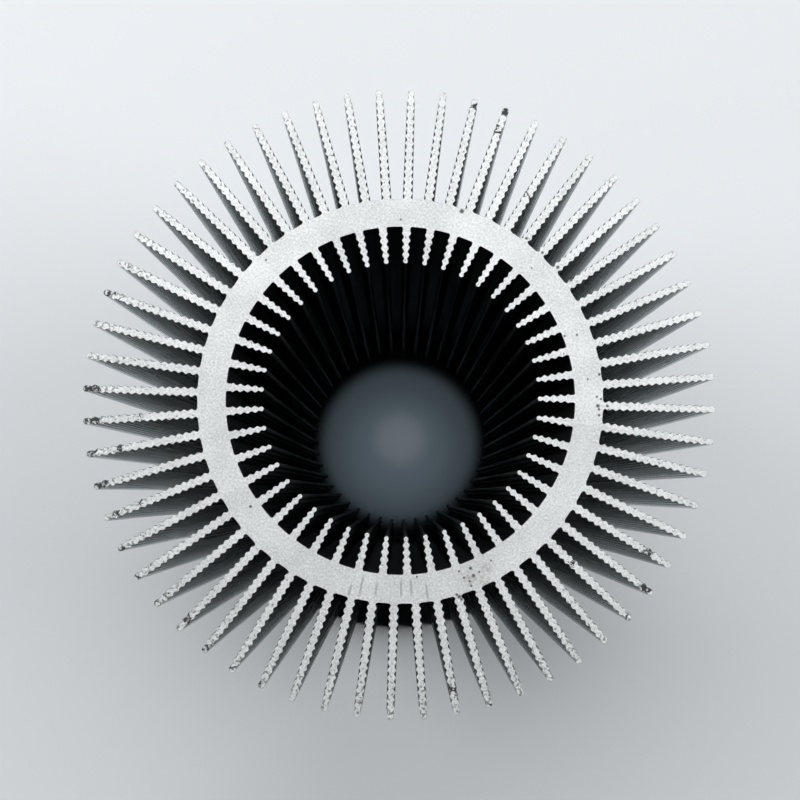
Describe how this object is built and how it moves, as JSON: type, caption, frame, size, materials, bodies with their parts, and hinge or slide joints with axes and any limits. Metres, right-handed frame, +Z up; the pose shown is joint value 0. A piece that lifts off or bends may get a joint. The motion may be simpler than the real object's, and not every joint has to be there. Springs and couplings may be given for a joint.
{
  "type": "heat sink",
  "caption": "Round extruded aluminium heat sink: a thick ring with rippled radial fins outside and inside, round an open bore, sawn flat at both ends.",
  "frame": {"origin": "centre of the lower sawn face, on the axis of the bore", "axes": "+Z up along the axis of the bore, +X through the middle of an outer fin and an inner fin"},
  "size_m": [0.12, 0.12, 0.16],
  "materials": {
    "aluminium": "black anodised fin and bore walls, bare sawn end faces"
  },
  "bodies": {
    "root": {"heat_sink": "aluminium"}
  },
  "joints": []
}
